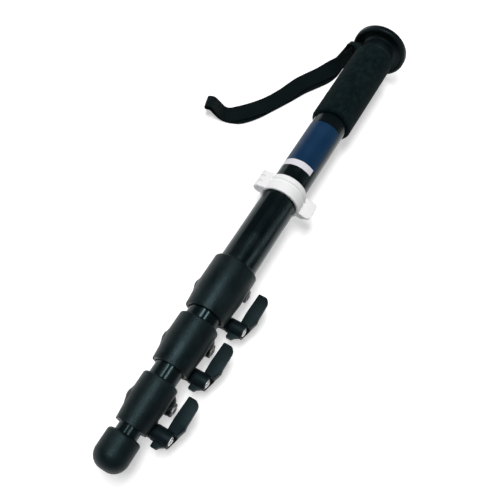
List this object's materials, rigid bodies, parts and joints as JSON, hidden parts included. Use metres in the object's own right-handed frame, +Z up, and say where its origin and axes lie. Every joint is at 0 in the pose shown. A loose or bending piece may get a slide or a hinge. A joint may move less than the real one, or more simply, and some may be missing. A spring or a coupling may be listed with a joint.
{
  "type": "camera monopod",
  "caption": "Telescopic camera monopod with flip-lever clamps, foam grip, wrist strap, round camera plate and rubber foot, closed and lying on its side.",
  "frame": {"origin": "centre of the camera plate's face, where the camera stud leaves it", "axes": "+Y along the tubes towards the camera, +X towards the levers, +Z up from the table that the closed part lies on"},
  "size_m": [0.1625, 0.5175, 0.0605],
  "materials": {
    "black_plastic": "satin moulded",
    "black_alloy": "satin black anodised",
    "black_tube": "satin black anodised",
    "steel": "bright",
    "dark_steel": "blackened",
    "foam": "closed-cell foam",
    "rubber": "matte",
    "webbing": "woven",
    "white_nylon": "smooth moulded",
    "grey_nylon": "matte moulded"
  },
  "bodies": {
    "mast": {"camera_pad": "rubber", "camera_plate": "black_alloy", "camera_stud": "steel", "plate_screws": "dark_steel", "head_plug": "black_plastic", "strap_ring": "black_plastic", "wrist_strap": "webbing", "grip": "foam", "upper_tube": "black_tube", "collar_1": "black_plastic", "clamp_bush_1": "grey_nylon", "fixing_bolt_1": "dark_steel", "fixing_nut_1": "steel", "lever_bolt_1": "steel", "lever_nut_1": "steel", "cam_washer_1": "dark_steel"},
    "lever_1": {"lever_1": "black_plastic"},
    "leg_2": {"second_tube": "black_tube", "guide_bush_2": "grey_nylon", "collar_2": "black_plastic", "clamp_bush_2": "grey_nylon", "fixing_bolt_2": "dark_steel", "fixing_nut_2": "steel", "lever_bolt_2": "steel", "lever_nut_2": "steel", "cam_washer_2": "dark_steel"},
    "lever_2": {"lever_2": "black_plastic"},
    "leg_3": {"third_tube": "black_tube", "guide_bush_3": "grey_nylon", "collar_3": "black_plastic", "clamp_bush_3": "grey_nylon", "fixing_bolt_3": "dark_steel", "fixing_nut_3": "steel", "lever_bolt_3": "steel", "lever_nut_3": "steel", "cam_washer_3": "dark_steel"},
    "lever_3": {"lever_3": "black_plastic"},
    "leg_4": {"fourth_tube": "black_tube", "guide_bush_4": "grey_nylon", "foot_plug": "black_plastic", "rubber_foot": "rubber"},
    "clip_base": {"clip_lower": "white_nylon", "clip_pin": "white_nylon"},
    "clip_cover": {"clip_upper": "white_nylon"}
  },
  "joints": [
    {"name": "leg_2_slide", "type": "slide", "parent": "mast", "child": "leg_2", "axis": [0, -1, 0], "range_m": [0, 0.295]},
    {"name": "leg_3_slide", "type": "slide", "parent": "leg_2", "child": "leg_3", "axis": [0, -1, 0], "range_m": [0, 0.347]},
    {"name": "leg_4_slide", "type": "slide", "parent": "leg_3", "child": "leg_4", "axis": [0, -1, 0], "range_m": [0, 0.399]},
    {"name": "lever_1_flip", "type": "hinge", "parent": "mast", "child": "lever_1", "pos_m": [0.00722, -0.3574, -0.01983], "axis": [0.9397, 0, 0.342], "range_deg": [0, 110]},
    {"name": "lever_2_flip", "type": "hinge", "parent": "leg_2", "child": "lever_2", "pos_m": [0.00636, -0.4126, -0.01748], "axis": [0.9397, 0, 0.342], "range_deg": [0, 110]},
    {"name": "lever_3_flip", "type": "hinge", "parent": "leg_3", "child": "lever_3", "pos_m": [0.00551, -0.4671, -0.01513], "axis": [0.9397, 0, 0.342], "range_deg": [0, 110]},
    {"name": "clip_slide", "type": "slide", "parent": "mast", "child": "clip_base", "axis": [0, 1, 0], "range_m": [-0.075, 0.085]},
    {"name": "clip_hinge", "type": "hinge", "parent": "clip_base", "child": "clip_cover", "pos_m": [-0.0237, -0.22505, 0], "axis": [0, -1, 0], "range_deg": [0, 75]}
  ]
}
